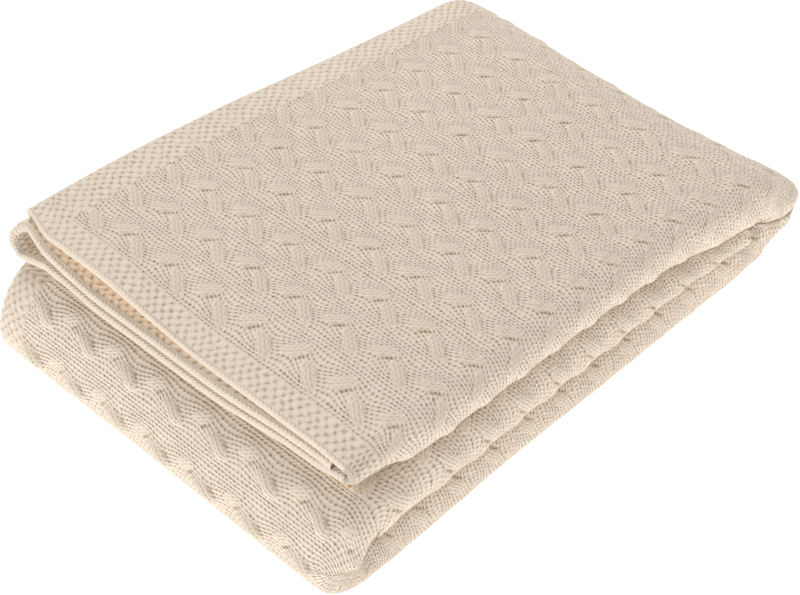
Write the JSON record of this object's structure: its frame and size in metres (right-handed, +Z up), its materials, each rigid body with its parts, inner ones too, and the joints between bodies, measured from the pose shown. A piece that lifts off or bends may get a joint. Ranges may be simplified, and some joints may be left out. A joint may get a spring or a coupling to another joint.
{
  "type": "crib blanket",
  "caption": "Cream cable-knit crib blanket with a seed-stitch border, folded in three both ways into a flat packet.",
  "frame": {"origin": "middle of the packet's footprint, on the surface it lies on", "axes": "+X along the folded strip, away from the open hem of the top pass; +Y towards the back hem; +Z up"},
  "size_m": [0.3486, 0.2458, 0.0841],
  "materials": {
    "cotton": "matt"
  },
  "bodies": {
    "root": {"blanket": "cotton"}
  },
  "joints": []
}
